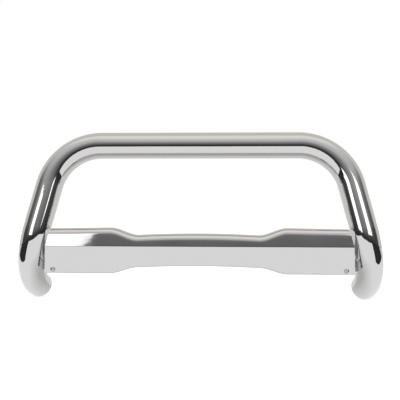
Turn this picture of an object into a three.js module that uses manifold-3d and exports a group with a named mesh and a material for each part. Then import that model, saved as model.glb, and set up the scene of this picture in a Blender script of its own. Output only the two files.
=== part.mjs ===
// Front grille guard: a bent stainless hoop with a skid plate between its legs.
// Millimetres, +X across the vehicle, +Y to the rear, +Z up.
import * as THREE from 'three';
import { mergeVertices } from 'three/addons/utils/BufferGeometryUtils.js';
import Module from 'manifold-3d';

const wasm = await Module();
wasm.setup();

// Driving dimensions. Heights and depths are from the middle of the top tube's centreline.
const TOUCH_GAP = 0.3;
const TUBE = { radius: 38.1, wall: 2, sides: 32 };
const BEND_RADIUS = 152.4;
const BEND_STEP = 6;
const HOOP_LEAN = 13;
const LEG_FLARE = 12;
const HALF_TOP = 287.4;
const LEG_STRAIGHT = 129.2;
const FOOT_DROP = 23;
const FOOT_STRAIGHT = 12;

const CROSS = { radius: 21.2, wall: 2, sides: 24, y: -45, z: -312, reach: 474 };

const PLATE = {
  thick: 1.5,
  frontY: -86,
  creaseZ: -290,
  creaseRadius: 10,
  upperLean: 8,
  lowerLean: 7,
  neckHalf: 170,
  flareEnd: 250,
  neckTop: -254.5,
  neckBottom: -345,
  neckCrown: 4.5,
  outerTop: -238.5,
  outerBottom: -367,
  endDroop: 3,
  topRoll: 21,
  topFlange: 12,
  bottomRoll: 4,
  bottomFlange: 10,
  endTop: 419,
  endCrease: 431,
  endBottom: 435,
};

const TAB = { thick: 4, inner: 391, fold: 424, foldOut: 34, low: -362.5, high: -336 };
const CORNER_BOLT = {
  x: 411,
  z: -356.5,
  shankRadius: 4,
  length: 20,
  headRadius: 7,
  headHeight: 4.4,
  socketRadius: 2.9,
  socketDepth: 2.5,
};
const CORNER_NUT = { flats: 13, height: 6.8 };
const CORNER_WASHER = { radius: 8, thick: 1.6 };

const BRACKET = { x: 150, height: 40, thick: 3, crownHalf: 24, brim: 30, studOut: 40 };
const STUD = { radius: 3, length: 12 };
const STUD_NUT = { flats: 10, height: 5.5, flangeRadius: 6.8, flangeThick: 1.4 };

const MOUNT = { x: 458, thick: 8, front: -52, rear: 132, top: -262, bottom: -368, corner: 12 };
const SLOT = { width: 13, length: 36, y: 85, gap: 60 };
const CHASSIS = { y: SLOT.y, z: (MOUNT.top + MOUNT.bottom) / 2 };
const GUSSET = { thick: 5, leg: 46, clear: 6 };
const PLUG = {
  flange: 3,
  flangeRadius: 37.4,
  sleeveRadius: 35.5,
  sleeveLength: 16,
  sleeveWall: 2.2,
  drain: 5,
};

const POLISHED = { color: 0xd8d5d0, roughness: 0.06, metalness: 1 };
const SATIN_STAINLESS = { color: 0xb6b3ae, roughness: 0.35, metalness: 1 };
const HARDWARE = { color: 0xc4c2be, roughness: 0.2, metalness: 1 };
const BLACK_PLASTIC = { color: 0x141414, roughness: 0.6, metalness: 0 };

const rad = THREE.MathUtils.degToRad;
const vec = (x, y, z) => new THREE.Vector3(x, y, z);

// The last group puts the chassis bolts' centre at the origin.
const guard = new THREE.Group();
const hoopFrame = new THREE.Group();
hoopFrame.position.set(0, -CHASSIS.y, -CHASSIS.z);
guard.add(hoopFrame);

function addPiece(name, geometry, finish) {
  const piece = new THREE.Mesh(geometry, new THREE.MeshStandardMaterial(finish));
  piece.name = name;
  hoopFrame.add(piece);
  return piece;
}

// Joining and cutting.
function solidOf(geometry) {
  const bare = geometry.clone();
  bare.deleteAttribute('normal');
  bare.deleteAttribute('uv');
  const welded = mergeVertices(bare, 1e-3);
  const vertProperties = new Float32Array(welded.attributes.position.array);
  const triVerts = new Uint32Array(welded.index.array);
  return new wasm.Manifold(new wasm.Mesh({ numProp: 3, vertProperties, triVerts }));
}

function geometryOf(solid) {
  const { vertProperties, triVerts } = solid.getMesh();
  const geometry = new THREE.BufferGeometry();
  geometry.setAttribute('position', new THREE.BufferAttribute(vertProperties, 3));
  geometry.setIndex(new THREE.BufferAttribute(triVerts, 1));
  return geometry;
}

function cut(geometry, ...tools) {
  let solid = solidOf(geometry);
  for (const tool of tools) {
    solid = solid.subtract(solidOf(tool));
  }
  return geometryOf(solid);
}

function join(geometry, ...others) {
  let solid = solidOf(geometry);
  for (const other of others) {
    solid = solid.add(solidOf(other));
  }
  return geometryOf(solid);
}

// A run of straights and bends, sampled only where it turns.
class TubeRun extends THREE.Curve {
  constructor(start, along) {
    super();
    this.stations = [{ point: start.clone(), along: along.clone().normalize() }];
  }

  last() {
    return this.stations[this.stations.length - 1];
  }

  straight(length) {
    const { point, along } = this.last();
    this.stations.push({ point: point.clone().addScaledVector(along, length), along: along.clone() });
    return this;
  }

  bendTo(target, radius) {
    const { point, along } = this.last();
    const aim = target.clone().normalize();
    const angle = along.angleTo(aim);
    const inward = aim.clone().addScaledVector(along, -along.dot(aim)).normalize();
    const centre = point.clone().addScaledVector(inward, radius);
    const steps = Math.ceil(THREE.MathUtils.radToDeg(angle) / BEND_STEP);
    for (let step = 1; step <= steps; step += 1) {
      const turned = (angle * step) / steps;
      const out = inward.clone().multiplyScalar(-Math.cos(turned)).addScaledVector(along, Math.sin(turned));
      const ahead = along.clone().multiplyScalar(Math.cos(turned)).addScaledVector(inward, Math.sin(turned));
      this.stations.push({ point: centre.clone().addScaledVector(out, radius), along: ahead });
    }
    return this;
  }

  at(u) {
    return this.stations[Math.round(u * (this.stations.length - 1))];
  }

  getPointAt(u) {
    return this.at(u).point.clone();
  }

  getTangentAt(u) {
    return this.at(u).along.clone();
  }

  sweep(outer, inner, sides) {
    const section = new THREE.Shape().absarc(0, 0, outer, 0, Math.PI * 2);
    if (inner > 0) {
      section.holes.push(new THREE.Path().absarc(0, 0, inner, 0, Math.PI * 2));
    }
    const steps = this.stations.length - 1;
    return new THREE.ExtrudeGeometry(section, { steps, curveSegments: sides / 2, extrudePath: this });
  }
}

const legDown = vec(
  Math.sin(rad(LEG_FLARE)),
  -Math.cos(rad(LEG_FLARE)) * Math.sin(rad(HOOP_LEAN)),
  -Math.cos(rad(LEG_FLARE)) * Math.cos(rad(HOOP_LEAN)),
);
const footOut = vec(0, Math.cos(rad(FOOT_DROP)), -Math.sin(rad(FOOT_DROP)));

// One half of the hoop from the middle of the top tube to a foot; side is 1 or -1.
function halfHoop(side) {
  const mirror = vec(side, 1, 1);
  return new TubeRun(vec(0, 0, 0), vec(side, 0, 0))
    .straight(HALF_TOP)
    .bendTo(legDown.clone().multiply(mirror), BEND_RADIUS)
    .straight(LEG_STRAIGHT)
    .bendTo(footOut, BEND_RADIUS)
    .straight(FOOT_STRAIGHT);
}

// The whole hoop starts at the left foot and runs up, across and down again.
function wholeHoop() {
  const up = halfHoop(-1).stations.slice(1).reverse();
  const down = halfHoop(1).stations.slice(1);
  const run = new TubeRun(up[0].point, up[0].along.clone().negate());
  for (const { point, along } of up.slice(1)) {
    run.stations.push({ point, along: along.clone().negate() });
  }
  run.stations.push(...down);
  return run;
}

const hoopRun = wholeHoop();
const hoopTool = hoopRun.sweep(TUBE.radius + TOUCH_GAP, 0, TUBE.sides);
addPiece('hoop_tube', hoopRun.sweep(TUBE.radius, TUBE.radius - TUBE.wall, TUBE.sides), POLISHED);

// Cross tube, its ends shaped to the legs.
const crossRun = new TubeRun(vec(-CROSS.reach, CROSS.y, CROSS.z), vec(1, 0, 0)).straight(2 * CROSS.reach);
const crossTool = crossRun.sweep(CROSS.radius + TOUCH_GAP, 0, CROSS.sides);
const crossTube = crossRun.sweep(CROSS.radius, CROSS.radius - CROSS.wall, CROSS.sides);
addPiece('cross_tube', cut(crossTube, hoopTool), SATIN_STAINLESS);

// Skid plate. Its section at one place along X, from the top flange's edge to the bottom flange's edge,
// as points on the front face with the way that the face looks.
function plateOutline(x) {
  const across = Math.abs(x);
  const flare = THREE.MathUtils.smoothstep(across, PLATE.neckHalf, PLATE.flareEnd);
  const crown = PLATE.neckCrown * Math.min(1, across / PLATE.neckHalf) ** 2;
  const droop = PLATE.endDroop * Math.max(0, (across - PLATE.flareEnd) / (PLATE.endCrease - PLATE.flareEnd));
  return {
    top: THREE.MathUtils.lerp(PLATE.neckTop - crown, PLATE.outerTop - droop, flare),
    bottom: THREE.MathUtils.lerp(PLATE.neckBottom - crown, PLATE.outerBottom, flare),
  };
}

function facing(degrees) {
  return { ny: -Math.cos(rad(degrees)), nz: Math.sin(rad(degrees)) };
}

function arcPoints(centre, radius, from, to, steps) {
  return Array.from({ length: steps + 1 }, (_, step) => {
    const { ny, nz } = facing(from + ((to - from) * step) / steps);
    return { y: centre.y + radius * ny, z: centre.z + radius * nz, ny, nz };
  });
}

function rollAgainstFacet(z, radius, lean) {
  const { ny, nz } = facing(lean);
  const touchZ = z + radius * nz;
  const touchY = PLATE.frontY + (touchZ - PLATE.creaseZ) * Math.tan(rad(lean));
  return { y: touchY - radius * ny, z };
}

function plateSection(x) {
  const { top, bottom } = plateOutline(x);
  const { upperLean, lowerLean, topRoll, bottomRoll, creaseRadius } = PLATE;
  const topCentre = rollAgainstFacet(top - topRoll, topRoll, upperLean);
  const lowCentre = rollAgainstFacet(bottom + bottomRoll, bottomRoll, -lowerLean);
  const halfTurn = rad((upperLean + lowerLean) / 2);
  const middle = facing((upperLean - lowerLean) / 2);
  const creaseCentre = {
    y: PLATE.frontY - (middle.ny * creaseRadius) / Math.cos(halfTurn),
    z: PLATE.creaseZ - (middle.nz * creaseRadius) / Math.cos(halfTurn),
  };
  return [
    { y: topCentre.y + PLATE.topFlange, z: top, ny: 0, nz: 1 },
    ...arcPoints(topCentre, topRoll, 90, upperLean, 7),
    ...arcPoints(creaseCentre, creaseRadius, upperLean, -lowerLean, 2),
    ...arcPoints(lowCentre, bottomRoll, -lowerLean, -90, 3),
    { y: lowCentre.y + PLATE.bottomFlange, z: bottom, ny: 0, nz: -1 },
  ];
}

// Places along X where the section is taken: close together only where the outline flares.
function plateStations() {
  const half = [0, 60, 120, PLATE.neckHalf];
  const flareSteps = 8;
  for (let step = 1; step <= flareSteps; step += 1) {
    half.push(PLATE.neckHalf + ((PLATE.flareEnd - PLATE.neckHalf) * step) / flareSteps);
  }
  half.push(340, 450);
  return [...half.slice(1).reverse().map((x) => -x), ...half];
}

function plateSheet() {
  const stations = plateStations();
  const rows = plateSection(0).length;
  const sheet = new THREE.BoxGeometry(stations.length - 1, 1, rows - 1, stations.length - 1, 1, rows - 1);
  const places = sheet.attributes.position;
  for (let index = 0; index < places.count; index += 1) {
    const x = stations[Math.round(places.getX(index) + (stations.length - 1) / 2)];
    const row = Math.round((rows - 1) / 2 - places.getZ(index));
    const { y, z, ny, nz } = plateSection(x)[row];
    const depth = places.getY(index) > 0 ? PLATE.thick : 0;
    places.setXYZ(index, x, y - ny * depth, z - nz * depth);
  }
  return sheet;
}

// What is trimmed from an end: everything beyond a line that follows the leg.
function endTrim(side) {
  const { endTop, endCrease, endBottom, outerTop, outerBottom, creaseZ } = PLATE;
  const clear = 20;
  const reach = 200;
  const outline = new THREE.Shape([
    new THREE.Vector2(side * endTop, outerTop + clear),
    new THREE.Vector2(side * endTop, outerTop),
    new THREE.Vector2(side * endCrease, creaseZ),
    new THREE.Vector2(side * endBottom, outerBottom),
    new THREE.Vector2(side * endBottom, outerBottom - clear),
    new THREE.Vector2(side * (endBottom + reach), outerBottom - clear),
    new THREE.Vector2(side * (endBottom + reach), outerTop + clear),
  ]);
  const trim = new THREE.ExtrudeGeometry(outline, { depth: reach, bevelEnabled: false });
  return trim.rotateX(Math.PI / 2).translate(0, reach / 2, 0);
}

function rod(radius, length, sides, place, leanDown) {
  const shape = new THREE.CylinderGeometry(radius, radius, length, sides);
  return shape.rotateX(rad(leanDown)).translate(place.x, place.y, place.z);
}

// A point on the lower facet's front face, or so far behind it.
function onLowerFacet(x, z, behind) {
  const { ny, nz } = facing(-PLATE.lowerLean);
  const y = PLATE.frontY + (PLATE.creaseZ - z) * Math.tan(rad(PLATE.lowerLean));
  return vec(x, y - ny * behind, z - nz * behind);
}

const boltHoles = [-1, 1].map((side) => {
  const place = onLowerFacet(side * CORNER_BOLT.x, CORNER_BOLT.z, 0);
  return rod(CORNER_BOLT.shankRadius + 0.5, 30, 16, place, PLATE.lowerLean);
});
addPiece('skid_plate', cut(plateSheet(), endTrim(1), endTrim(-1), ...boltHoles), POLISHED);

// A sheet-metal or hardware piece drawn flat against the lower facet: its own +Y points behind the plate.
function setBehindFacet(piece, x, z, behind) {
  piece.position.copy(onLowerFacet(x, z, behind));
  piece.rotation.x = rad(PLATE.lowerLean);
}

const behindPlate = PLATE.thick + TOUCH_GAP;

// Corner tab: flat behind the plate, then folded back 45 degrees to the leg's inner side.
function tabGeometry(side) {
  const { thick, inner, fold, foldOut, low, high } = TAB;
  const miter = thick * Math.tan(rad(22.5));
  const step = thick * Math.SQRT1_2;
  const outline = new THREE.Shape([
    new THREE.Vector2(side * inner, 0),
    new THREE.Vector2(side * fold, 0),
    new THREE.Vector2(side * (fold + foldOut), foldOut),
    new THREE.Vector2(side * (fold + foldOut - step), foldOut + step),
    new THREE.Vector2(side * (fold - miter), thick),
    new THREE.Vector2(side * inner, thick),
  ]);
  const tab = new THREE.ExtrudeGeometry(outline, { depth: high - low, bevelEnabled: false });
  tab.translate(0, 0, (low - high) / 2).rotateX(rad(PLATE.lowerLean));
  const place = onLowerFacet(0, (high + low) / 2, behindPlate);
  tab.translate(place.x, place.y, place.z);
  return cut(tab, boltHoles[(side + 1) / 2], hoopTool, crossTool);
}

function turned(points, sides) {
  return new THREE.LatheGeometry(points.map(([r, y]) => new THREE.Vector2(r, y)), sides);
}

function buttonBolt({ shankRadius, length, headRadius, headHeight, socketRadius, socketDepth }) {
  const dome = [];
  const domeSteps = 6;
  for (let step = 0; step <= domeSteps; step += 1) {
    const turn = (Math.PI / 2) * (step / domeSteps);
    dome.push([headRadius * Math.sin(turn), -headHeight * Math.cos(turn)]);
  }
  const seat = TOUCH_GAP;
  const shank = [[headRadius, -seat], [shankRadius, -seat], [shankRadius, length], [0, length]];
  const socket = new THREE.CylinderGeometry(socketRadius, socketRadius, socketDepth * 2, 6);
  return cut(turned([...dome, ...shank], 24), socket.translate(0, -headHeight, 0));
}

function ring(outer, inner, low, high, sides) {
  return turned([[inner, low], [outer, low], [outer, high], [inner, high], [inner, low]], sides);
}

function hexNut(flats, height, bore) {
  const corner = flats / Math.sqrt(3);
  const hexagon = new THREE.CylinderGeometry(corner, corner, height, 6).translate(0, height / 2, 0);
  return cut(hexagon, new THREE.CylinderGeometry(bore, bore, height * 3, 16));
}

for (const side of [-1, 1]) {
  const name = side < 0 ? 'left' : 'right';
  addPiece(`plate_tab_${name}`, tabGeometry(side), SATIN_STAINLESS);
  const x = side * CORNER_BOLT.x;
  setBehindFacet(addPiece(`plate_bolt_${name}`, buttonBolt(CORNER_BOLT), HARDWARE), x, CORNER_BOLT.z, 0);
  const bore = CORNER_BOLT.shankRadius + TOUCH_GAP;
  const washer = ring(CORNER_WASHER.radius, bore, 0, CORNER_WASHER.thick, 24);
  const washerBack = behindPlate + TAB.thick + TOUCH_GAP;
  setBehindFacet(addPiece(`bolt_washer_${name}`, washer, HARDWARE), x, CORNER_BOLT.z, washerBack);
  const nut = hexNut(CORNER_NUT.flats, CORNER_NUT.height, bore);
  const nutBack = washerBack + CORNER_WASHER.thick + TOUCH_GAP;
  setBehindFacet(addPiece(`bolt_nut_${name}`, nut, HARDWARE), x, CORNER_BOLT.z, nutBack);
}

// Hat-section brackets: crown on the cross tube, brims against the back of the plate.
function bracketGeometry(side) {
  const { thick, crownHalf, brim, height, studOut } = BRACKET;
  const facetY = onLowerFacet(0, CROSS.z, behindPlate).y;
  const depth = CROSS.y - CROSS.radius - facetY + 6;
  const wall = crownHalf + thick;
  const outline = new THREE.Shape([
    new THREE.Vector2(-wall - brim, 0),
    new THREE.Vector2(-crownHalf, 0),
    new THREE.Vector2(-crownHalf, depth - thick),
    new THREE.Vector2(crownHalf, depth - thick),
    new THREE.Vector2(crownHalf, 0),
    new THREE.Vector2(wall + brim, 0),
    new THREE.Vector2(wall + brim, thick),
    new THREE.Vector2(wall, thick),
    new THREE.Vector2(wall, depth),
    new THREE.Vector2(-wall, depth),
    new THREE.Vector2(-wall, thick),
    new THREE.Vector2(-wall - brim, thick),
  ]);
  const hat = new THREE.ExtrudeGeometry(outline, { depth: height, bevelEnabled: false });
  hat.translate(0, 0, -height / 2).rotateX(rad(PLATE.lowerLean));
  const place = onLowerFacet(side * BRACKET.x, CROSS.z, behindPlate);
  hat.translate(place.x, place.y, place.z);
  const holes = [-1, 1].map((way) => {
    const centre = onLowerFacet(side * BRACKET.x + way * studOut, CROSS.z, behindPlate);
    return rod(STUD.radius + TOUCH_GAP, 20, 16, centre, PLATE.lowerLean);
  });
  return cut(hat, crossTool, ...holes);
}

function studNut() {
  const bore = STUD.radius + TOUCH_GAP;
  const { flats, height, flangeRadius, flangeThick } = STUD_NUT;
  const flange = ring(flangeRadius, bore, 0, flangeThick, 18);
  return join(flange, hexNut(flats, height, bore));
}

for (const side of [-1, 1]) {
  const name = side < 0 ? 'left' : 'right';
  addPiece(`plate_bracket_${name}`, bracketGeometry(side), SATIN_STAINLESS);
  for (const way of [-1, 1]) {
    const place = way === side ? 'outer' : 'inner';
    const x = side * BRACKET.x + way * BRACKET.studOut;
    const stud = new THREE.CylinderGeometry(STUD.radius, STUD.radius, STUD.length, 16);
    stud.translate(0, STUD.length / 2, 0);
    setBehindFacet(addPiece(`stud_${name}_${place}`, stud, HARDWARE), x, CROSS.z, behindPlate);
    const back = behindPlate + BRACKET.thick + TOUCH_GAP;
    setBehindFacet(addPiece(`stud_nut_${name}_${place}`, studNut(), HARDWARE), x, CROSS.z, back);
  }
}

// Mount plates: upright, fore and aft, welded to the back of the legs.
function slotPath(y, z) {
  const radius = SLOT.width / 2;
  const half = SLOT.length / 2 - radius;
  const slot = new THREE.Path();
  slot.absarc(y + half, z, radius, -Math.PI / 2, Math.PI / 2);
  slot.absarc(y - half, z, radius, Math.PI / 2, Math.PI * 1.5);
  return slot;
}

function mountGeometry(side) {
  const { front, rear, top, bottom, corner, thick } = MOUNT;
  const outline = new THREE.Shape();
  outline.moveTo(front, bottom);
  outline.lineTo(rear - corner, bottom);
  outline.absarc(rear - corner, bottom + corner, corner, -Math.PI / 2, 0);
  outline.absarc(rear - corner, top - corner, corner, 0, Math.PI / 2);
  outline.lineTo(front, top);
  for (const way of [-1, 1]) {
    outline.holes.push(slotPath(SLOT.y, CHASSIS.z + (way * SLOT.gap) / 2));
  }
  const plate = new THREE.ExtrudeGeometry(outline, { depth: thick, bevelEnabled: false, curveSegments: 4 });
  plate.rotateY(Math.PI / 2).rotateX(Math.PI / 2).translate(side * MOUNT.x - thick / 2, 0, 0);
  return cut(plate, hoopTool, crossTool);
}

// Gussets: flat triangles in the corner between the cross tube and a mount plate.
function gussetGeometry(side) {
  const { leg, thick, clear } = GUSSET;
  const wallX = MOUNT.x - MOUNT.thick / 2 - TOUCH_GAP;
  const tubeY = CROSS.y + CROSS.radius - clear;
  const outline = new THREE.Shape([
    new THREE.Vector2(wallX, tubeY),
    new THREE.Vector2(wallX, tubeY + clear + leg),
    new THREE.Vector2(wallX - leg, tubeY + clear),
    new THREE.Vector2(wallX - leg, tubeY),
  ]);
  const gusset = new THREE.ExtrudeGeometry(outline, { depth: thick, bevelEnabled: false });
  gusset.translate(0, 0, CROSS.z - thick / 2);
  if (side < 0) {
    gusset.rotateY(Math.PI).translate(0, 0, 2 * CROSS.z);
  }
  return cut(gusset, crossTool, hoopTool);
}

// End plugs: a flange over the tube's open end, a sleeve inside it and a drain hole.
function plugGeometry() {
  const { flange, flangeRadius, sleeveRadius, sleeveLength, sleeveWall, drain } = PLUG;
  return turned([
    [drain, 0],
    [sleeveRadius - sleeveWall, 0],
    [sleeveRadius - sleeveWall, -sleeveLength],
    [sleeveRadius, -sleeveLength],
    [sleeveRadius, TOUCH_GAP],
    [flangeRadius, TOUCH_GAP],
    [flangeRadius, flange - 1],
    [flangeRadius - 1, flange],
    [drain, flange],
    [drain, 0],
  ], 32);
}

for (const side of [-1, 1]) {
  const name = side < 0 ? 'left' : 'right';
  addPiece(`mount_plate_${name}`, mountGeometry(side), SATIN_STAINLESS);
  addPiece(`gusset_${name}`, gussetGeometry(side), SATIN_STAINLESS);
  const plug = addPiece(`end_plug_${name}`, plugGeometry(), BLACK_PLASTIC);
  const end = halfHoop(side).last();
  plug.position.copy(end.point);
  plug.quaternion.setFromUnitVectors(vec(0, 1, 0), end.along);
}

export default guard;
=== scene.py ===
"""Front grille guard: a polished stainless hoop with a skid plate between its legs.

Sizes are in millimetres from the middle of the top tube, as a workshop drawing gives them;
TO_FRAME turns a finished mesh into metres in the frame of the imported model.
"""

import math

import bmesh
import bpy
from mathutils import Matrix, Vector
from mathutils.bvhtree import BVHTree


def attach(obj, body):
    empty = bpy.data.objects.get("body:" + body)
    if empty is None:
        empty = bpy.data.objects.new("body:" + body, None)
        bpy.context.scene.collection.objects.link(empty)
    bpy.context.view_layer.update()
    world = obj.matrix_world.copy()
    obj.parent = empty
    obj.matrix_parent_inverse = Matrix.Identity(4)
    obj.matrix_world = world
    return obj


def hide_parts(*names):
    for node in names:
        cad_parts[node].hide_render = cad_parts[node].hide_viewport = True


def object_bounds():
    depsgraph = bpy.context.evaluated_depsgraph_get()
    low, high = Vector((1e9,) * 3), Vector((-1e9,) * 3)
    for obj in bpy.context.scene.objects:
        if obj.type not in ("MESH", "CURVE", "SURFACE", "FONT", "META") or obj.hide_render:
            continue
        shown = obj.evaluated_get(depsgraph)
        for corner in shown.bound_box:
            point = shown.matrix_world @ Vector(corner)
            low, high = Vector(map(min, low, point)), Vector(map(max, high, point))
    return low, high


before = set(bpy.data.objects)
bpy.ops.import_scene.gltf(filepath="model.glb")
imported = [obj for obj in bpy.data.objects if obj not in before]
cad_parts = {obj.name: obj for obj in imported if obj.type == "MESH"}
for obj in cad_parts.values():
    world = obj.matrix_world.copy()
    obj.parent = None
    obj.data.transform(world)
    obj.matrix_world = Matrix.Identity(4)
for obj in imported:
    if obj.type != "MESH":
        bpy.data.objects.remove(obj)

cad_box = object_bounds()

MM = 0.001
SLOT_Y = 85.0
SLOT_Z = -315.0
TO_FRAME = Matrix.Scale(MM, 4) @ Matrix.Translation((0, -SLOT_Y, -SLOT_Z))

# Hoop tube.
TUBE_RADIUS = 38.1
TUBE_WALL = 2.0
BEND_RADIUS = 152.4
HOOP_LEAN = math.radians(13)
LEG_FLARE = math.radians(12)
FOOT_DROP = math.radians(23)
HALF_TOP = 287.4
LEG_STRAIGHT = 129.2
FOOT_STRAIGHT = 12.0
TUBE_SIDES = 96
END_RING = 1.5

# Cross tube.
CROSS_RADIUS = 21.2
CROSS_WALL = 2.0
CROSS_Y = -45.0
CROSS_Z = -312.0

# Skid plate.
SHEET = 1.5
PLATE_Y = -86.0
CREASE_Z = -290.0
CREASE_RADIUS = 10.0
UPPER_LEAN = math.radians(8)
LOWER_LEAN = math.radians(7)
NECK_HALF = 170.0
FLARE_END = 250.0
NECK_TOP = -254.5
NECK_BOTTOM = -345.0
NECK_CROWN = 4.5
OUTER_TOP = -238.5
OUTER_BOTTOM = -367.0
END_DROOP = 3.0
TOP_ROLL = 21.0
TOP_FLANGE = 12.0
BOTTOM_ROLL = 4.0
BOTTOM_FLANGE = 10.0
END_TOP = 419.0
END_CREASE = 431.0
END_BOTTOM = 435.0

# Fixings. A length called behind is measured square to the lower facet, from its front.
GAP = 0.3
BEHIND_SHEET = SHEET + GAP
BOLT_X = 411.0
BOLT_Z = -356.5
BOLT_RADIUS = 4.0
BOLT_LENGTH = 20.0
BOLT_PITCH = 1.25
HEAD_RADIUS = 7.0
HEAD_HEIGHT = 4.4
SOCKET_FLATS = 5.0
SOCKET_DEPTH = 2.8
TAB_THICK = 4.0
TAB_INNER = 391.0
TAB_FOLD = 424.0
TAB_END = 450.0
TAB_LOW = -362.5
TAB_HIGH = -336.0
WASHER_RADIUS = 8.0
WASHER_THICK = 1.6
NUT_FLATS = 13.0
NUT_HEIGHT = 6.8
BRACKET_X = 150.0
BRACKET_HEIGHT = 40.0
BRACKET_THICK = 3.0
CROWN_HALF = 25.5
BRIM = 31.5
STUD_OUT = 40.0
STUD_RADIUS = 3.0
STUD_LENGTH = 12.0
STUD_NUT_FLATS = 10.0
STUD_NUT_HEIGHT = 5.5
STUD_FLANGE_RADIUS = 6.8
STUD_FLANGE_THICK = 1.4
MOUNT_X = 458.0
MOUNT_THICK = 8.0
MOUNT_REAR = 132.0
MOUNT_TOP = -262.0
MOUNT_BOTTOM = -368.0
MOUNT_CORNER = 12.0
SLOT_WIDTH = 13.0
SLOT_LENGTH = 36.0
SLOT_GAP = 60.0
GUSSET_THICK = 5.0
GUSSET_LEG = 46.0
PLUG_FLANGE = 3.0
PLUG_FLANGE_RADIUS = 37.4
PLUG_SLEEVE_RADIUS = 35.5
PLUG_SLEEVE_LENGTH = 16.0
PLUG_WALL = 2.2
PLUG_DRAIN = 5.0

# Radii of the weld beads.
CROSS_BEAD = 2.4
TAB_BEAD = 1.4
MOUNT_BEAD = 2.6
GUSSET_BEAD = 2.0
BRACKET_BEAD = 2.2

# Most of a noise's values lie between these two.
NOISE_LOW = 0.3
NOISE_HIGH = 0.7

# Camera: place in drawing millimetres, angles, and lens and sensor in millimetres.
CAMERA_PLACE = (67.3, -1623.3, -159.8)
CAMERA_YAW = math.radians(-2.31)
CAMERA_ROLL = math.radians(0.1)
CAMERA_LENS = 49.8
CAMERA_SENSOR = 36.0

SIDES = ((-1, "left"), (1, "right"))


# ---------------------------------------------------------------- finishing a mesh


def finish(name, mesh_build, material, replaced=(), sharp=35, outward=True):
    """Turns a bmesh drawn in millimetres into a piece of the guard."""
    if outward:
        bmesh.ops.recalc_face_normals(mesh_build, faces=mesh_build.faces)
    mesh_build.transform(TO_FRAME)
    mesh = bpy.data.meshes.new(name)
    mesh_build.to_mesh(mesh)
    mesh_build.free()
    mesh.shade_smooth()
    mesh.set_sharp_from_angle(angle=math.radians(sharp))
    mesh.materials.append(material)
    piece = bpy.data.objects.new(name, mesh)
    bpy.context.scene.collection.objects.link(piece)
    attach(piece, "root")
    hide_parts(*replaced)
    return piece


def boundary(grown):
    """The open edges among what an extrusion has made."""
    return [e for e in grown if isinstance(e, bmesh.types.BMEdge) and e.is_boundary]


def corners_of(edges):
    return list({v for e in edges for v in e.verts})


# ---------------------------------------------------------------- materials


def linear(hex_colour):
    """An sRGB hex value as a linear RGBA tuple."""
    channels = [int(hex_colour[i:i + 2], 16) / 255 for i in (1, 3, 5)]
    return tuple(c / 12.92 if c <= 0.04045 else ((c + 0.055) / 1.055) ** 2.4 for c in channels) + (1.0,)


def add(tree, kind, settings=None, links=None):
    """Adds a node with its settings, input values by name or number, and links from other nodes' outputs."""
    node = tree.nodes.new(kind)
    for key, value in (settings or {}).items():
        if isinstance(key, int) or key in node.inputs:
            node.inputs[key].default_value = value
        else:
            setattr(node, key, value)
    for key, (source, output) in (links or {}).items():
        tree.links.new(source.outputs[output], node.inputs[key])
    return node


def ramp(node, stops):
    """Sets a colour ramp's stops, each a place from 0 to 1 and a linear colour."""
    elements = node.color_ramp.elements
    while len(elements) > 1:
        elements.remove(elements[-1])
    elements[0].position, elements[0].color = stops[0]
    for place, colour in stops[1:]:
        elements.new(place).color = colour


def new_material(name):
    """A new material with its tree, its shader and the object coordinates to lay textures by."""
    material = bpy.data.materials.new(name)
    material.use_nodes = True
    tree = material.node_tree
    tree.nodes.clear()
    shader = add(tree, "ShaderNodeBsdfPrincipled")
    add(tree, "ShaderNodeOutputMaterial", links={"Surface": (shader, "BSDF")})
    where = (add(tree, "ShaderNodeTexCoord"), "Object")
    return material, tree, shader, where


def noise(tree, where, millimetres, detail):
    """Noise whose features are about so many millimetres across."""
    settings = {"Scale": 1.0 / (millimetres * MM), "Detail": detail}
    return add(tree, "ShaderNodeTexNoise", settings, {"Vector": where})


def stretched(tree, where, share):
    """The same coordinates with features drawn out along X to one over a share."""
    return add(tree, "ShaderNodeMapping", {"Scale": (share, 1.0, 1.0)}, {"Vector": where}), 0


def bump(tree, height, strength, metres, under=None):
    """Relief from a noise, on top of another relief if one is given."""
    links = {"Height": (height, 0)}
    if under:
        links["Normal"] = (under, 0)
    return add(tree, "ShaderNodeBump", {"Strength": strength, "Distance": metres}, links)


def set_surface(tree, shader, relief, rough_by, smoothest, roughest):
    """Gives the shader its relief, and a roughness that a noise moves between two values."""
    limits = {1: NOISE_LOW, 2: NOISE_HIGH, 3: smoothest, 4: roughest}
    rough = add(tree, "ShaderNodeMapRange", limits, {0: (rough_by, 0)})
    tree.links.new(rough.outputs[0], shader.inputs["Roughness"])
    tree.links.new(relief.outputs[0], shader.inputs["Normal"])


def set_tones(tree, shader, tone_by, *stops):
    """Colours the shader by a noise, through stops of a place and an sRGB hex value."""
    tone = add(tree, "ShaderNodeValToRGB", links={"Fac": (tone_by, 0)})
    ramp(tone, [(place, linear(hex_colour)) for place, hex_colour in stops])
    tree.links.new(tone.outputs[0], shader.inputs["Base Color"])


def polished_stainless():
    """Grade 304 stainless, ground and buffed to a mirror: slow waves and the lengthwise
    passes of the wheel bend what it reflects, and a faint haze takes the edge off the gloss."""
    material, tree, shader, where = new_material("polished_stainless_304")
    waves = bump(tree, noise(tree, where, 90, 1.0), 0.25, 0.0012)
    wheel = noise(tree, stretched(tree, where, 0.15), 10, 1.0)
    passes = bump(tree, wheel, 1.0, 0.00007, waves)
    grit = bump(tree, noise(tree, where, 1.2, 2.0), 0.02, 0.0001, passes)
    haze = noise(tree, where, 55, 4.0)
    set_surface(tree, shader, grit, haze, 0.025, 0.06)
    shader.inputs["Base Color"].default_value = linear("#d1d1d2")
    shader.inputs["Metallic"].default_value = 1.0
    return material


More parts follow.
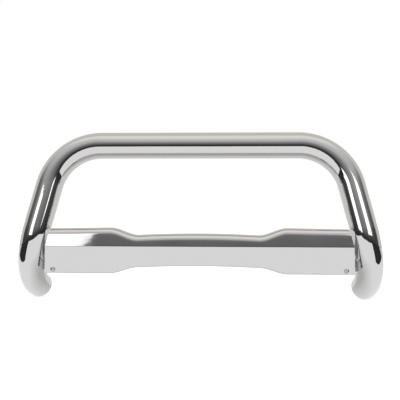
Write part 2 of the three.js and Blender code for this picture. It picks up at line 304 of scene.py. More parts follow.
def satin_stainless():
    """The same stainless as it leaves the mill, pickled after welding: a soft grey
    sheen with rolling lines and cloudy patches."""
    material, tree, shader, where = new_material("satin_stainless_mill_finish")
    cloud = noise(tree, where, 25, 5.0)
    lines = noise(tree, stretched(tree, where, 0.04), 1.5, 3.0)
    set_tones(tree, shader, cloud, (0.3, "#bebdbb"), (0.7, "#d0cfcd"))
    set_surface(tree, shader, bump(tree, lines, 0.25, 0.0002), cloud, 0.28, 0.42)
    shader.inputs["Metallic"].default_value = 1.0
    return material


def turned_stainless():
    """A2 stainless fasteners, turned and tumbled: bright, with fine scatter."""
    material, tree, shader, where = new_material("turned_stainless_a2")
    grain = noise(tree, where, 0.8, 3.0)
    set_surface(tree, shader, bump(tree, grain, 0.15, 0.0001), grain, 0.14, 0.26)
    shader.inputs["Base Color"].default_value = linear("#c9c6c2")
    shader.inputs["Metallic"].default_value = 1.0
    return material


def heat_tinted_weld():
    """TIG weld bead left with some heat tint: straw to faint blue over grey."""
    material, tree, shader, where = new_material("stainless_weld_bead")
    tint = noise(tree, where, 14, 2.0)
    scale = noise(tree, where, 1.0, 2.0)
    set_tones(tree, shader, tint, (0.35, "#b0aca5"), (0.5, "#b3a78f"), (0.65, "#9a9da6"))
    set_surface(tree, shader, bump(tree, scale, 0.2, 0.0002), scale, 0.25, 0.45)
    shader.inputs["Metallic"].default_value = 1.0
    return material


def moulded_polyethylene():
    """Black injection-moulded polyethylene: a dull waxy skin with fine mould texture."""
    material, tree, shader, where = new_material("moulded_black_polyethylene")
    skin = noise(tree, where, 0.9, 3.0)
    set_tones(tree, shader, skin, (0.3, "#131313"), (0.7, "#1d1d1e"))
    set_surface(tree, shader, bump(tree, skin, 0.3, 0.0002), skin, 0.5, 0.65)
    shader.inputs["IOR"].default_value = 1.51
    return material


POLISHED = polished_stainless()
SATIN = satin_stainless()
TURNED = turned_stainless()
WELD = heat_tinted_weld()
PLASTIC = moulded_polyethylene()


# ---------------------------------------------------------------- hoop tube

leg_down = Vector((
    math.sin(LEG_FLARE),
    -math.cos(LEG_FLARE) * math.sin(HOOP_LEAN),
    -math.cos(LEG_FLARE) * math.cos(HOOP_LEAN),
))
foot_out = Vector((0, math.cos(FOOT_DROP), -math.sin(FOOT_DROP)))


class TubeRun:
    """Grows a tube from a ring of edges, straight by straight and bend by bend."""

    def __init__(self, build, radius, start, along, sides):
        self.build = build
        self.point = Vector(start)
        self.along = Vector(along).normalized()
        turn = self.along.to_track_quat("Z", "Y").to_matrix().to_4x4()
        place = Matrix.Translation(self.point) @ turn
        ring = bmesh.ops.create_circle(build, cap_ends=False, radius=radius, segments=sides, matrix=place)
        self.edges = list({e for v in ring["verts"] for e in v.link_edges})

    def straight(self, length, pieces=(1.0,)):
        done = 0.0
        for share in pieces:
            grown = bmesh.ops.extrude_edge_only(self.build, edges=self.edges)["geom"]
            self.edges = boundary(grown)
            step = self.along * length * (share - done)
            bmesh.ops.translate(self.build, verts=corners_of(self.edges), vec=step)
            done = share
        self.point = self.point + self.along * length
        return self

    def bend_to(self, target, radius, degrees_a_step=1.0):
        aim = Vector(target).normalized()
        angle = self.along.angle(aim)
        inward = (aim - self.along * self.along.dot(aim)).normalized()
        centre = self.point + inward * radius
        axis = self.along.cross(aim).normalized()
        steps = round(math.degrees(angle) / degrees_a_step)
        rim = self.edges + corners_of(self.edges)
        spun = bmesh.ops.spin(self.build, geom=rim, cent=centre, axis=axis, angle=angle, steps=steps)
        self.edges = [e for e in spun["geom_last"] if isinstance(e, bmesh.types.BMEdge)]
        turn = Matrix.Rotation(angle, 3, axis)
        self.point = centre + turn @ (self.point - centre)
        self.along = (turn @ self.along).normalized()
        return self


def near_ends(length):
    """Shares of a straight with a ring close to each end, so that shading stays true along it."""
    return (END_RING / length, 0.5, 1.0 - END_RING / length, 1.0)


def hoop_half(build, radius):
    """From the middle of the top tube to the right foot."""
    run = TubeRun(build, radius, (0, 0, 0), (1, 0, 0), TUBE_SIDES)
    run.straight(HALF_TOP, (0.5, 1.0 - END_RING / HALF_TOP, 1.0))
    run.bend_to(leg_down, BEND_RADIUS)
    run.straight(LEG_STRAIGHT, near_ends(LEG_STRAIGHT))
    run.bend_to(foot_out, BEND_RADIUS)
    run.straight(FOOT_STRAIGHT, near_ends(FOOT_STRAIGHT))
    return run


def make_hoop():
    build = bmesh.new()
    half = hoop_half(build, TUBE_RADIUS)
    foot = (half.point.copy(), half.along.copy())
    whole = build.verts[:] + build.edges[:] + build.faces[:]
    bmesh.ops.mirror(build, geom=whole, axis="X", merge_dist=0.01)
    bmesh.ops.remove_doubles(build, verts=build.verts, dist=0.01)
    bmesh.ops.recalc_face_normals(build, faces=build.faces)
    surface = BVHTree.FromBMesh(build)
    bmesh.ops.solidify(build, geom=build.faces, thickness=TUBE_WALL)
    finish("hoop", build, POLISHED, ["hoop_tube"], sharp=50, outward=False)
    return surface, foot


hoop_surface, foot_end = make_hoop()


# ---------------------------------------------------------------- skid plate


def smooth_step(value, low, high):
    share = min(1.0, max(0.0, (value - low) / (high - low)))
    return share * share * (3 - 2 * share)


def plate_edges(x):
    """Heights of the plate's top and bottom edge at a place along X."""
    across = abs(x)
    flare = smooth_step(across, NECK_HALF, FLARE_END)
    crown = NECK_CROWN * min(1.0, across / NECK_HALF) ** 2
    droop = END_DROOP * max(0.0, (across - FLARE_END) / (END_CREASE - FLARE_END))
    top = (NECK_TOP - crown) * (1 - flare) + (OUTER_TOP - droop) * flare
    bottom = (NECK_BOTTOM - crown) * (1 - flare) + OUTER_BOTTOM * flare
    return top, bottom


def facing(lean):
    """The way a face looks that leans up by an angle, as y and z."""
    return Vector((-math.cos(lean), math.sin(lean)))


def roll_centre(z, radius, lean):
    touch = z + radius * math.sin(lean)
    return Vector((PLATE_Y + (touch - CREASE_Z) * math.tan(lean) + radius * math.cos(lean), z))


def arc_points(centre, radius, start, end, steps):
    points = []
    for step in range(steps + 1):
        way = facing(start + (end - start) * step / steps)
        points.append(centre + way * radius)
    return points


def evenly(start, end, steps):
    """Points between two, without the two themselves."""
    return [start.lerp(end, step / steps) for step in range(1, steps)]


def plate_section(x):
    """The front face's section at a place along X, from the top flange's edge to the bottom flange's."""
    top, bottom = plate_edges(x)
    high = roll_centre(top - TOP_ROLL, TOP_ROLL, UPPER_LEAN)
    low = roll_centre(bottom + BOTTOM_ROLL, BOTTOM_ROLL, -LOWER_LEAN)
    half_turn = (UPPER_LEAN + LOWER_LEAN) / 2
    middle = facing((UPPER_LEAN - LOWER_LEAN) / 2)
    crease = Vector((PLATE_Y, CREASE_Z)) - middle * (CREASE_RADIUS / math.cos(half_turn))
    top_roll = arc_points(high, TOP_ROLL, math.pi / 2, UPPER_LEAN, 14)
    fold = arc_points(crease, CREASE_RADIUS, UPPER_LEAN, -LOWER_LEAN, 6)
    low_roll = arc_points(low, BOTTOM_ROLL, -LOWER_LEAN, -math.pi / 2, 8)
    return [
        high + Vector((TOP_FLANGE, TOP_ROLL)),
        high + Vector((1.0, TOP_ROLL)),
        *top_roll,
        *evenly(top_roll[-1], fold[0], 4),
        *fold,
        *evenly(fold[-1], low_roll[0], 8),
        *low_roll,
        low + Vector((1.0, -BOTTOM_ROLL)),
        low + Vector((BOTTOM_FLANGE, -BOTTOM_ROLL)),
    ]


def end_reach(z):
    """How far the plate reaches along X at a height: its ends follow the legs."""
    if z > CREASE_Z:
        share = min(1.0, (z - CREASE_Z) / (OUTER_TOP - CREASE_Z))
        return END_CREASE + (END_TOP - END_CREASE) * share
    share = min(1.0, (CREASE_Z - z) / (CREASE_Z - OUTER_BOTTOM))
    return END_CREASE + (END_BOTTOM - END_CREASE) * share


def ripple(x, z):
    """Slow dents of a hand-buffed sheet, in millimetres of depth."""
    return (0.16 * math.sin(x / 31 + 0.6) * math.sin(z / 23 + x / 190)
            + 0.10 * math.sin(x / 17.5 + z / 40 + 1.9))


def make_plate():
    columns = 240
    rows = len(plate_section(0)) - 1
    build = bmesh.new()
    bmesh.ops.create_grid(build, x_segments=columns, y_segments=rows, size=1.0)
    reach = [end_reach(point.y) for point in plate_section(END_TOP)]
    for vert in build.verts:
        row = round((1 - vert.co.y) / 2 * rows)
        x = vert.co.x * reach[row]
        y, z = plate_section(x)[row]
        vert.co = Vector((x, y + ripple(x, z), z))
    bmesh.ops.recalc_face_normals(build, faces=build.faces)
    aim = Vector((0, PLATE_Y, CREASE_Z - 20))
    middle = min(build.faces, key=lambda face: (face.calc_center_median() - aim).length)
    if middle.normal.y > 0:
        bmesh.ops.reverse_faces(build, faces=build.faces)
    bmesh.ops.solidify(build, geom=build.faces, thickness=SHEET)
    finish("skid_plate_pressed", build, POLISHED, ["skid_plate"],
           sharp=50, outward=False)


make_plate()


# ---------------------------------------------------------------- cross tube and welds


def seen_from(start, way):
    """Where a ray first meets the hoop's outside."""
    return hoop_surface.ray_cast(Vector(start), Vector(way))[0]


def make_cross_tube():
    """Cross tube with each end moved out to the leg; gives back the two rings of end points."""
    build = bmesh.new()
    start = (-300, CROSS_Y, CROSS_Z)
    TubeRun(build, CROSS_RADIUS, start, (1, 0, 0), 64).straight(600, (0.5, 1.0))
    ends = [[], []]
    for vert in build.verts:
        if abs(vert.co.x) > 1:
            side = math.copysign(1, vert.co.x)
            vert.co.x = seen_from(vert.co, (side, 0, 0)).x - side * GAP
            ends[side > 0].append(vert.co.copy())
    bmesh.ops.recalc_face_normals(build, faces=build.faces)
    bmesh.ops.solidify(build, geom=build.faces, thickness=CROSS_WALL)
    finish("cross_tube_coped", build, SATIN, ["cross_tube"], sharp=50, outward=False)
    return ends


def in_order(points):
    """A closed ring of points sorted round the cross tube, with the first one again at the end."""
    ordered = sorted(points, key=lambda p: math.atan2(p.z - CROSS_Z, p.y - CROSS_Y))
    return [*ordered, ordered[0]]


welds = bmesh.new()


def weld(points, radius):
    """Lays a TIG bead along a path: flattened drops of metal, each over the edge of the last."""
    spacing = radius * 0.75
    left = 0.0
    for start, end in zip(points, points[1:]):
        length = (end - start).length
        if length == 0:
            continue
        along = (end - start) / length
        turn = along.to_track_quat("Z", "Y").to_matrix().to_4x4()
        while left <= length:
            drop = Matrix.Translation(start + along * left) @ turn @ Matrix.Diagonal((1, 1, 0.75, 1))
            bmesh.ops.create_icosphere(welds, subdivisions=1, radius=radius, matrix=drop)
            left += spacing
        left -= length


for ring in make_cross_tube():
    weld(in_order(ring), CROSS_BEAD)


# ---------------------------------------------------------------- flat and folded sheet


def flat_piece(outline, holes, thick, bevel=0.5):
    """A flat piece in the XY plane with softened edges, its thickness centred on the plane."""
    curve = bpy.data.curves.new("outline", "CURVE")
    curve.dimensions = "2D"
    curve.fill_mode = "BOTH"
    curve.extrude = thick / 2 - bevel
    curve.bevel_depth = bevel
    curve.bevel_resolution = 2
    curve.offset = -bevel
    for loop in (outline, *holes):
        spline = curve.splines.new("POLY")
        spline.points.add(len(loop) - 1)
        spline.use_cyclic_u = True
        for point, (x, y) in zip(spline.points, loop):
            point.co = (x, y, 0, 1)
    holder = bpy.data.objects.new("outline", curve)
    mesh = bpy.data.meshes.new_from_object(holder)
    build = bmesh.new()
    build.from_mesh(mesh)
    bmesh.ops.remove_doubles(build, verts=build.verts, dist=0.001)
    bpy.data.objects.remove(holder)
    bpy.data.curves.remove(curve)
    bpy.data.meshes.remove(mesh)
    return build


def arc(x, y, radius, start, end, steps=12):
    """Points on an arc between two angles in degrees."""
    angles = [math.radians(start + (end - start) * step / steps) for step in range(steps + 1)]
    return [(x + radius * math.cos(a), y + radius * math.sin(a)) for a in angles]


def on_lower_facet(x, z, behind=0.0):
    way = facing(-LOWER_LEAN)
    y = PLATE_Y + (CREASE_Z - z) * math.tan(LOWER_LEAN)
    return Vector((x, y - way.x * behind, z - way.y * behind))


def facet_place(x, z, behind):
    """Stands a piece on the lower facet's back: its own +Z points behind the plate."""
    turn = Matrix.Rotation(LOWER_LEAN - math.pi / 2, 4, "X")
    return Matrix.Translation(on_lower_facet(x, z, behind)) @ turn


def fold_strip(line, height, thick):
    """Folds sheet along a line of (across, behind) points, its outer face on the line."""
    build = bmesh.new()
    verts = [build.verts.new((across, -height / 2, behind)) for across, behind in line]
    edges = [build.edges.new(pair) for pair in zip(verts, verts[1:])]
    grown = bmesh.ops.extrude_edge_only(build, edges=edges)["geom"]
    raised = [g for g in grown if isinstance(g, bmesh.types.BMVert)]
    bmesh.ops.translate(build, verts=raised, vec=(0, height, 0))
    folds = [e for e in build.edges if len(e.link_faces) == 2]
    bmesh.ops.bevel(build, geom=folds, offset=thick * 1.3, segments=6, profile=0.5,
                    affect="EDGES", material=-1)
    bmesh.ops.recalc_face_normals(build, faces=build.faces)
    first = min(build.faces, key=lambda f: f.calc_center_median().x)
    if first.normal.z > 0:
        bmesh.ops.reverse_faces(build, faces=build.faces)
    bmesh.ops.solidify(build, geom=build.faces, thickness=thick)
    rims = [e for e in build.edges if e.calc_face_angle(0) > 1.2]
    bmesh.ops.bevel(build, geom=rims, offset=0.4, segments=2, profile=0.5,
                    affect="EDGES", material=-1)
    return build


def make_tab(side, name):
    """Corner tab: flat behind the plate, then folded back to the leg's inner side."""
    middle = (TAB_LOW + TAB_HIGH) / 2
    place = facet_place(0, middle, BEHIND_SHEET)
    reach = TAB_END - TAB_FOLD
    line = [(TAB_INNER, 0), (TAB_FOLD, 0), (TAB_END, reach)]
    build = fold_strip(line, TAB_HIGH - TAB_LOW, TAB_THICK)
    if side < 0:
        bmesh.ops.scale(build, verts=build.verts, vec=(-1, 1, 1))
    build.transform(place)
    finish(f"corner_tab_{name}", build, SATIN, [f"plate_tab_{name}"])
    half = (TAB_HIGH - TAB_LOW) / 2
    for behind in (reach - 2, reach + 3.5):
        ends = [place @ Vector((side * 430, y, behind)) for y in (-half, half)]
        steps = [ends[0].lerp(ends[1], share / 6) for share in range(7)]
        weld([seen_from(p, (side, 0, 0)) for p in steps], TAB_BEAD)


def make_mount(side, name):
    """Mount plate in its own plane: x is the frame's Y and y is its height."""
    steps = 24
    heights = [MOUNT_TOP + (MOUNT_BOTTOM - MOUNT_TOP) * step / steps for step in range(steps + 1)]
    outline = [(seen_from((side * MOUNT_X, 120, z), (0, -1, 0)).y + GAP, z) for z in heights]
    corner = MOUNT_CORNER
    outline += arc(MOUNT_REAR - corner, MOUNT_BOTTOM + corner, corner, -90, 0)
    outline += arc(MOUNT_REAR - corner, MOUNT_TOP - corner, corner, 0, 90)
    radius = SLOT_WIDTH / 2
    reach = SLOT_LENGTH / 2 - radius
    holes = []
    for z in (SLOT_Z + SLOT_GAP / 2, SLOT_Z - SLOT_GAP / 2):
        rear_end = arc(SLOT_Y + reach, z, radius, 90, -90)
        front_end = arc(SLOT_Y - reach, z, radius, -90, -270)
        holes.append(rear_end + front_end)
    build = flat_piece(outline, holes, MOUNT_THICK, 0.8)
    stand = Matrix(((0, 0, 1), (1, 0, 0), (0, 1, 0))).to_4x4()
    build.transform(Matrix.Translation((side * MOUNT_X, 0, 0)) @ stand)
    finish(f"chassis_plate_{name}", build, SATIN, [f"mount_plate_{name}"])
    for face in (-1, 1):
        x = side * MOUNT_X + face * (MOUNT_THICK / 2 + 0.8)
        path = [seen_from((x, 120, z), (0, -1, 0)) + Vector((0, 0.8, 0)) for z in heights]
        weld(path, MOUNT_BEAD)


def make_gusset(side, name):
    """Flat triangle between mount plate and cross tube, with short beads along both."""
    wall = MOUNT_X - MOUNT_THICK / 2 - GAP
    tube = CROSS_Y + CROSS_RADIUS + GAP
    leg = GUSSET_LEG
    outline = [(wall, tube + 9), (wall, tube + leg), (wall - 5, tube + leg), (wall - leg, tube + 5),
               (wall - leg, tube), (wall - 20, tube)]
    build = flat_piece([(side * x, y) for x, y in outline], [], GUSSET_THICK)
    build.transform(Matrix.Translation((0, 0, CROSS_Z)))
    finish(f"corner_gusset_{name}", build, SATIN, [f"gusset_{name}"])
    for face in (-1, 1):
        z = CROSS_Z + face * (GUSSET_THICK / 2 + 0.6)
        on_wall = [Vector((side * (wall - 0.6), y, z)) for y in (tube + 14, tube + leg - 2)]
        on_tube = [Vector((side * x, tube - 0.2, z)) for x in (wall - leg + 2, wall - 22)]
        weld(on_wall, GUSSET_BEAD)
        weld(on_tube, GUSSET_BEAD)


def make_bracket(side, name):
    """Hat-section strip folded from sheet: brims on the plate's back, crown on the cross tube."""
    facet = on_lower_facet(0, CROSS_Z, BEHIND_SHEET).y
    depth = CROSS_Y - CROSS_RADIUS - facet + 6 - BRACKET_THICK
    line = [(-CROWN_HALF - BRIM, 0), (-CROWN_HALF, 0), (-CROWN_HALF, depth),
            (CROWN_HALF, depth), (CROWN_HALF, 0), (CROWN_HALF + BRIM, 0)]
    build = fold_strip(line, BRACKET_HEIGHT, BRACKET_THICK)
    build.transform(facet_place(side * BRACKET_X, CROSS_Z, BEHIND_SHEET))
    finish(f"hat_bracket_{name}", build, SATIN, [f"plate_bracket_{name}"])
    for face in (-1, 1):
        y = CROSS_Y - CROSS_RADIUS * 0.80
        z = CROSS_Z + face * CROSS_RADIUS * 0.66
        ends = [Vector((side * BRACKET_X + way * (CROWN_HALF - 3), y, z)) for way in (-1, 1)]
        weld(ends, BRACKET_BEAD)


for side, name in SIDES:
    make_tab(side, name)
    make_mount(side, name)
    make_gusset(side, name)
    make_bracket(side, name)


# ---------------------------------------------------------------- turned fasteners and plugs


def lathe(profile, steps=48):
    """Turns a profile of (radius, height) points round Z; the ring of a radius below zero is
    pressed to a hexagon of minus that width across flats."""
    build = bmesh.new()
    verts = []
    for radius, height in profile:
        across = -radius / 2 if radius < 0 else radius
        verts.append(build.verts.new((across, 0, height)))
    edges = [build.edges.new(pair) for pair in zip(verts, verts[1:])]
    bmesh.ops.spin(build, geom=verts + edges, cent=(0, 0, 0), axis=(0, 0, 1),
                   angle=2 * math.pi, steps=steps, use_merge=True)
    for radius, height in profile:
        if radius < 0:
            press_hexagon(build, -radius / 2, height)
    bmesh.ops.remove_doubles(build, verts=build.verts, dist=0.0005)
    return build


def press_hexagon(build, apothem, height):
    for vert in build.verts:
        flat = Vector((vert.co.x, vert.co.y))
        if abs(vert.co.z - height) < 1e-4 and abs(flat.length - apothem) < 1e-3:
            turn = math.atan2(flat.y, flat.x) % (math.pi / 3) - math.pi / 6
            vert.co.x *= 1 / math.cos(turn)
            vert.co.y *= 1 / math.cos(turn)


def thread(radius, pitch, start, end):
    """Profile points of a thread's ridges from one height to another."""
    turns = int((end - start) / pitch)
    deep = radius - 0.6 * pitch
    points = []
    for turn in range(turns):
        low = start + turn * pitch
        points += [(deep, low + 0.06 * pitch), (radius, low + 0.44 * pitch),
                   (radius, low + 0.56 * pitch), (deep, low + 0.94 * pitch)]
    return points


def make_bolt(side, name):
    """Button-head socket screw, its head in front of the plate."""
    dome = []
    for step in range(9):
        turn = math.radians(24 + 66 * step / 8)
        dome.append((HEAD_RADIUS * math.sin(turn), -HEAD_HEIGHT * math.cos(turn) * 1.02))
    top = dome[0][1]
    floor = top + SOCKET_DEPTH
    profile = [(0, floor), (-SOCKET_FLATS, floor), (-SOCKET_FLATS, top + 0.1), *dome,
               (HEAD_RADIUS, -GAP - 0.3), (HEAD_RADIUS - 0.4, -GAP), (BOLT_RADIUS, -GAP), (BOLT_RADIUS, 4),
               *thread(BOLT_RADIUS, BOLT_PITCH, 4, BOLT_LENGTH - 1.2),
               (BOLT_RADIUS - 1.2, BOLT_LENGTH), (0, BOLT_LENGTH)]
    build = lathe(profile)
    build.transform(facet_place(side * BOLT_X, BOLT_Z, 0))
    finish(f"button_screw_{name}", build, TURNED, [f"plate_bolt_{name}"],
           sharp=30)


def make_washer(side, name, behind):
    bore = BOLT_RADIUS + GAP
    thick = WASHER_THICK
    profile = [(bore, 0.2), (bore + 0.2, 0), (WASHER_RADIUS - 0.3, 0), (WASHER_RADIUS, 0.3),
               (WASHER_RADIUS, thick - 0.3), (WASHER_RADIUS - 0.3, thick),
               (bore + 0.2, thick), (bore, thick - 0.2), (bore, 0.2)]
    build = lathe(profile)
    build.transform(facet_place(side * BOLT_X, BOLT_Z, behind))
    finish(f"plain_washer_{name}", build, TURNED, [f"bolt_washer_{name}"],
           sharp=30)


def hex_nut(flats, height, bore, foot=()):
    """Profile of a nut: bore, an optional flange as its foot, hexagon and chamfered top."""
    rim = flats / 2 * 0.985
    return [(bore, 0.4), (bore + 0.4, 0), *(foot or [(rim, 0), (-flats, 0.5)]), (-flats, height - 0.9),
            (rim, height), (bore + 0.5, height), (bore, height - 0.5), (bore, 0.4)]


def make_nut(side, name, behind):
    build = lathe(hex_nut(NUT_FLATS, NUT_HEIGHT, BOLT_RADIUS + 0.05))
    build.transform(facet_place(side * BOLT_X, BOLT_Z, behind))
    finish(f"hex_nut_{name}", build, TURNED, [f"bolt_nut_{name}"], sharp=25)


def make_stud(x, name):
    """Weld stud on the plate's back, with its flange nut on the bracket's brim."""
    profile = [(0, 0), (STUD_RADIUS, 0), *thread(STUD_RADIUS, 1.0, 0.4, STUD_LENGTH - 1),
               (STUD_RADIUS - 0.8, STUD_LENGTH), (0, STUD_LENGTH)]
    build = lathe(profile, 36)
    build.transform(facet_place(x, CROSS_Z, BEHIND_SHEET))
    finish(f"weld_stud_{name}", build, TURNED, [f"stud_{name}"], sharp=30)
    foot = [(STUD_FLANGE_RADIUS - 0.3, 0), (STUD_FLANGE_RADIUS, 0.3),
            (STUD_FLANGE_RADIUS, STUD_FLANGE_THICK - 0.4), (-STUD_NUT_FLATS, STUD_FLANGE_THICK + 0.5)]
    nut = lathe(hex_nut(STUD_NUT_FLATS, STUD_NUT_HEIGHT, STUD_RADIUS + 0.05, foot))
    nut.transform(facet_place(x, CROSS_Z, BEHIND_SHEET + BRACKET_THICK + GAP))
    finish(f"flange_nut_{name}", nut, TURNED, [f"stud_nut_{name}"], sharp=25)


def make_plug(side, name):
    """Plug in a foot: flange over the tube's end, sleeve inside it and a drain hole."""
    inner = PLUG_SLEEVE_RADIUS - PLUG_WALL
    flange = PLUG_FLANGE_RADIUS
    outer = PLUG_SLEEVE_RADIUS
    foot = -PLUG_SLEEVE_LENGTH
    rim = arc(flange - 1.4, PLUG_FLANGE - 1.4, 1.4, 0, 90, 5)
    profile = [(PLUG_DRAIN, 0.3), (PLUG_DRAIN + 0.3, 0), (inner - 0.8, 0), (inner, -0.8),
               (inner, foot), (outer - 0.6, foot), (outer, foot + 1), (outer, GAP), (flange, GAP),
               *rim, (PLUG_DRAIN + 0.5, PLUG_FLANGE), (PLUG_DRAIN, PLUG_FLANGE - 0.5),
               (PLUG_DRAIN, 0.3)]
    build = lathe(profile, 96)
    point, along = foot_end
    mirror = Vector((side, 1, 1))
    turn = (along * mirror).to_track_quat("Z", "X").to_matrix().to_4x4()
    build.transform(Matrix.Translation(point * mirror) @ turn)
    finish(f"foot_plug_{name}", build, PLASTIC, [f"end_plug_{name}"])


for side, name in SIDES:
    washer_back = BEHIND_SHEET + TAB_THICK + GAP
    make_bolt(side, name)
    make_washer(side, name, washer_back)
    make_nut(side, name, washer_back + WASHER_THICK + GAP)
    make_plug(side, name)
    for way in (-1, 1):
        make_stud(side * BRACKET_X + way * STUD_OUT, f"{name}_{'outer' if way == side else 'inner'}")

finish("weld_beads", welds, WELD, sharp=80)


# ---------------------------------------------------------------- studio, in metres

FLOOR_Z = cad_box[0][2]
STUDIO_RADIUS = 7.0

# The white sheet's outline from its front to its rear, and the same mirrored.
SHEET_HALF = [(1.45, -2.05), (1.06, -1.18), (0.73, -0.47), (0.645, -0.30), (0.68, -0.26),
              (0.72, -0.22), (0.78, -0.19), (0.85, -0.145), (1.0, -0.05), (1.3, 0.15),
              (2.9, 1.3), (5.5, 3.2)]
SHEET_OUTLINE = SHEET_HALF + [(-x, y) for x, y in reversed(SHEET_HALF)]


def grey(level, warmth=0.0):
    """A linear grey, yellower the more warmth it has."""
    return (level, level * (1 - 0.35 * warmth), level * (1 - warmth), 1)


def stage_material(name, strength, colour=(1, 1, 1), diffuse=None):
    """A glowing surface of the studio, with a matt colour as well if one is given."""
    material = bpy.data.materials.new(name)
    material.use_nodes = True
    tree = material.node_tree
    tree.nodes.clear()
    glow = add(tree, "ShaderNodeEmission", {"Color": (*colour, 1), "Strength": strength})
    surface = glow
    if diffuse:
        matt = add(tree, "ShaderNodeBsdfDiffuse", {"Color": linear(diffuse)})
        surface = add(tree, "ShaderNodeAddShader", links={0: (glow, 0), 1: (matt, 0)})
    add(tree, "ShaderNodeOutputMaterial", links={"Surface": (surface, 0)})
    return material, tree, glow


def on_stage(name, build, material, seen=True, reflected=True):
    """Adds a thing of the studio that the camera or the polished surfaces may not see."""
    mesh = bpy.data.meshes.new(name)
    build.to_mesh(mesh)
    build.free()
    mesh.materials.append(material)
    thing = bpy.data.objects.new(name, mesh)
    bpy.context.scene.collection.objects.link(thing)
    thing.visible_camera = seen
    thing.visible_glossy = reflected
    thing.visible_diffuse = reflected
    thing.visible_shadow = False


def level_sheet(name, outline, below, material, seen, reflected):
    """A flat sheet so far below the floor's height."""
    build = bmesh.new()
    build.faces.new([build.verts.new((x, y, FLOOR_Z - below)) for x, y in outline])
    on_stage(name, build, material, seen, reflected)


def sheet_material():
    """White sheet under the guard, greyer in the plate's soft shadow."""
    material, tree, glow = stage_material("white_sheet", 1.0)
    where = add(tree, "ShaderNodeTexCoord")
    parts = add(tree, "ShaderNodeSeparateXYZ", links={0: (where, "Object")})
    across = add(tree, "ShaderNodeMath", {"operation": "ABSOLUTE"}, {0: (parts, "X")})
    along = add(tree, "ShaderNodeMath", {"operation": "ADD", 1: 0.04}, {0: (parts, "Y")})
    along = add(tree, "ShaderNodeMath", {"operation": "ABSOLUTE"}, {0: (along, 0)})
    inside = add(tree, "ShaderNodeMapRange", {1: 0.40, 2: 0.51, 3: 1.0, 4: 0.0}, {0: (across, 0)})
    below = add(tree, "ShaderNodeMapRange", {1: 0.08, 2: 0.26, 3: 1.0, 4: 0.0}, {0: (along, 0)})
    shade = add(tree, "ShaderNodeMath", {"operation": "MULTIPLY"}, {0: (inside, 0), 1: (below, 0)})
    colours = {"data_type": "RGBA", 6: (1.04, 1.035, 1.04, 1), 7: grey(0.62, 0.04)}
    tone = add(tree, "ShaderNodeMix", colours, {0: (shade, 0)})
    tree.links.new(tone.outputs[2], glow.inputs["Color"])
    return material


def rectangle(x0, x1, y0, y1):
    return [(x0, y0), (x1, y0), (x1, y1), (x0, y1)]


def make_floors():
    """A pale floor for the camera; for the steel, a white sheet on a dark floor."""
    round_outline = arc(0, 0, STUDIO_RADIUS, 0, 355, 71)
    pale = stage_material("pale_floor_paint", 0.70, diffuse="#dcdcdc")[0]
    level_sheet("floor", round_outline, 0.0, pale, True, False)
    dark = stage_material("dark_floor", 0.035)[0]
    level_sheet("dark_floor", round_outline, 0.004, dark, False, True)
    level_sheet("white_sheet", SHEET_OUTLINE, 0.002, sheet_material(), False, True)
    rear = stage_material("rear_sheet", 0.86, (1.0, 0.97, 0.93))[0]
    level_sheet("rear_sheet", rectangle(-5.5, 5.5, 0.22, 5.5), 0.001, rear, False, True)
    shadow = stage_material("seam_shadow", 0.22)[0]
    level_sheet("sheet_seam", rectangle(-0.9, 0.9, 0.235, 0.25), 0.0005, shadow, False, True)


def studio_wall_material():
    """Light of the room by direction: dark low down in front and at the sides, pale above and behind."""
    material, tree, glow = stage_material("studio_wall", 1.0)
    where = add(tree, "ShaderNodeTexCoord")
    unit = add(tree, "ShaderNodeVectorMath", {"operation": "NORMALIZE"}, {0: (where, "Object")})
    parts = add(tree, "ShaderNodeSeparateXYZ", links={0: (unit, 0)})
    front = add(tree, "ShaderNodeValToRGB", links={"Fac": (parts, "Z")})
    ramp(front, [(0.0, grey(0.045)), (0.09, grey(0.085)), (0.17, grey(0.16)), (0.34, grey(0.28)),
                 (0.5, grey(0.5)), (0.6, grey(0.66)), (0.76, grey(0.74)), (0.85, grey(1.0, 0.06)),
                 (0.97, grey(1.1, 0.2))])
    ahead = add(tree, "ShaderNodeMath", {"operation": "MULTIPLY", 1: -1.0}, {0: (parts, "Y")})
    bearing = add(tree, "ShaderNodeMath", {"operation": "ARCTAN2"}, {0: (parts, "X"), 1: (ahead, 0)})
    across = add(tree, "ShaderNodeMath", {"operation": "ABSOLUTE"}, {0: (bearing, 0)})
    turn = add(tree, "ShaderNodeMapRange", {1: 0.0, 2: math.pi, 3: 0.0, 4: 1.0}, {0: (across, 0)})
    sideways = add(tree, "ShaderNodeValToRGB", links={"Fac": (turn, 0)})
    ramp(sideways, [(0.25, grey(0.0)), (0.35, grey(1.0)), (0.49, grey(1.0)), (0.55, grey(0.0))])
    lowness = add(tree, "ShaderNodeValToRGB", links={"Fac": (parts, "Z")})
    ramp(lowness, [(0.0, grey(1.0)), (0.3, grey(0.9)), (0.55, grey(0.35)), (0.72, grey(0.0))])
    shade = add(tree, "ShaderNodeMath", {"operation": "MULTIPLY"}, {0: (sideways, 0), 1: (lowness, 0)})
    shaded = add(tree, "ShaderNodeMix", {"data_type": "RGBA", 7: grey(0.07)}, {0: (shade, 0), 6: (front, 0)})
    rear = add(tree, "ShaderNodeValToRGB", links={"Fac": (turn, 0)})
    ramp(rear, [(0.47, grey(0.0)), (0.53, grey(1.0))])
    mixed = add(tree, "ShaderNodeMix", {"data_type": "RGBA", 7: (0.77, 0.74, 0.69, 1)},
                {0: (rear, 0), 6: (shaded, 2)})
    tree.links.new(mixed.outputs[2], glow.inputs["Color"])
    return material


def make_studio_wall():
    build = bmesh.new()
    bmesh.ops.create_uvsphere(build, u_segments=64, v_segments=32, radius=STUDIO_RADIUS)
    bmesh.ops.reverse_faces(build, faces=build.faces)
    on_stage("studio_wall", build, studio_wall_material(), seen=False)


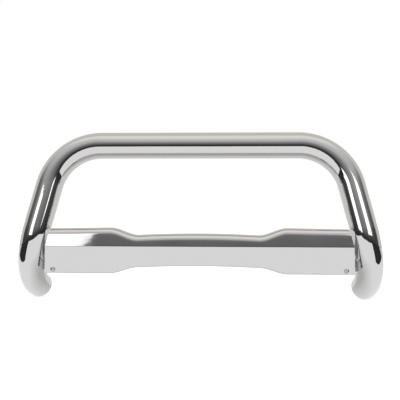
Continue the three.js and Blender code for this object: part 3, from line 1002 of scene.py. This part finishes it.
def make_panel(name, start, end, bottoms, tops, stops):
    """An upright light between two points of the floor, its light set by stops along its length."""
    build = bmesh.new()
    corners = [(*start, bottoms[0]), (*end, bottoms[1]), (*end, tops[1]), (*start, tops[0])]
    build.faces.new([build.verts.new(corner) for corner in corners])
    material, tree, glow = stage_material(name + "_light", 1.0)
    where = add(tree, "ShaderNodeTexCoord")
    parts = add(tree, "ShaderNodeSeparateXYZ", links={0: (where, "Object")})
    share = add(tree, "ShaderNodeMapRange", {1: start[0], 2: end[0], 3: 0.0, 4: 1.0}, {0: (parts, "X")})
    across = add(tree, "ShaderNodeValToRGB", links={"Fac": (share, 0)})
    ramp(across, [(place, grey(level)) for place, level in stops])
    tree.links.new(across.outputs[0], glow.inputs["Color"])
    on_stage(name, build, material, seen=False)


make_floors()
make_studio_wall()
make_panel("light_left", (-1.43, -1.52), (-0.84, -2.35), (0.25, 0.25), (1.07, 1.15),
           [(0.0, 0.9), (0.08, 2.0), (0.9, 2.0), (1.0, 1.2)])
make_panel("light_right", (0.75, -1.40), (3.40, -3.35), (0.25, 0.75), (0.98, 2.45),
           [(0.0, 1.2), (0.04, 2.0), (0.9, 2.0), (1.0, 1.0)])

world = bpy.data.worlds.new("pale_room")
bpy.context.scene.world = world
world.use_nodes = True
world.node_tree.nodes["Background"].inputs["Color"].default_value = (1, 1, 1, 1)
world.node_tree.nodes["Background"].inputs["Strength"].default_value = 1.0


def make_camera():
    """Level camera a little to the right of the middle, 1.6 m in front of the hoop."""
    camera = bpy.data.objects.new("camera", bpy.data.cameras.new("camera"))
    bpy.context.scene.collection.objects.link(camera)
    ahead = Vector((math.sin(CAMERA_YAW), math.cos(CAMERA_YAW), 0))
    right = Vector((math.cos(CAMERA_YAW), -math.sin(CAMERA_YAW), 0))
    up = Vector((0, 0, 1))
    rolled_right = right * math.cos(CAMERA_ROLL) + up * math.sin(CAMERA_ROLL)
    rolled_up = up * math.cos(CAMERA_ROLL) - right * math.sin(CAMERA_ROLL)
    turn = Matrix((rolled_right, rolled_up, -ahead)).transposed().to_4x4()
    camera.matrix_world = Matrix.Translation(TO_FRAME @ Vector(CAMERA_PLACE)) @ turn
    camera.data.sensor_width = CAMERA_SENSOR
    camera.data.lens = CAMERA_LENS
    bpy.context.scene.camera = camera


make_camera()
bpy.context.scene.view_settings.view_transform = "Standard"
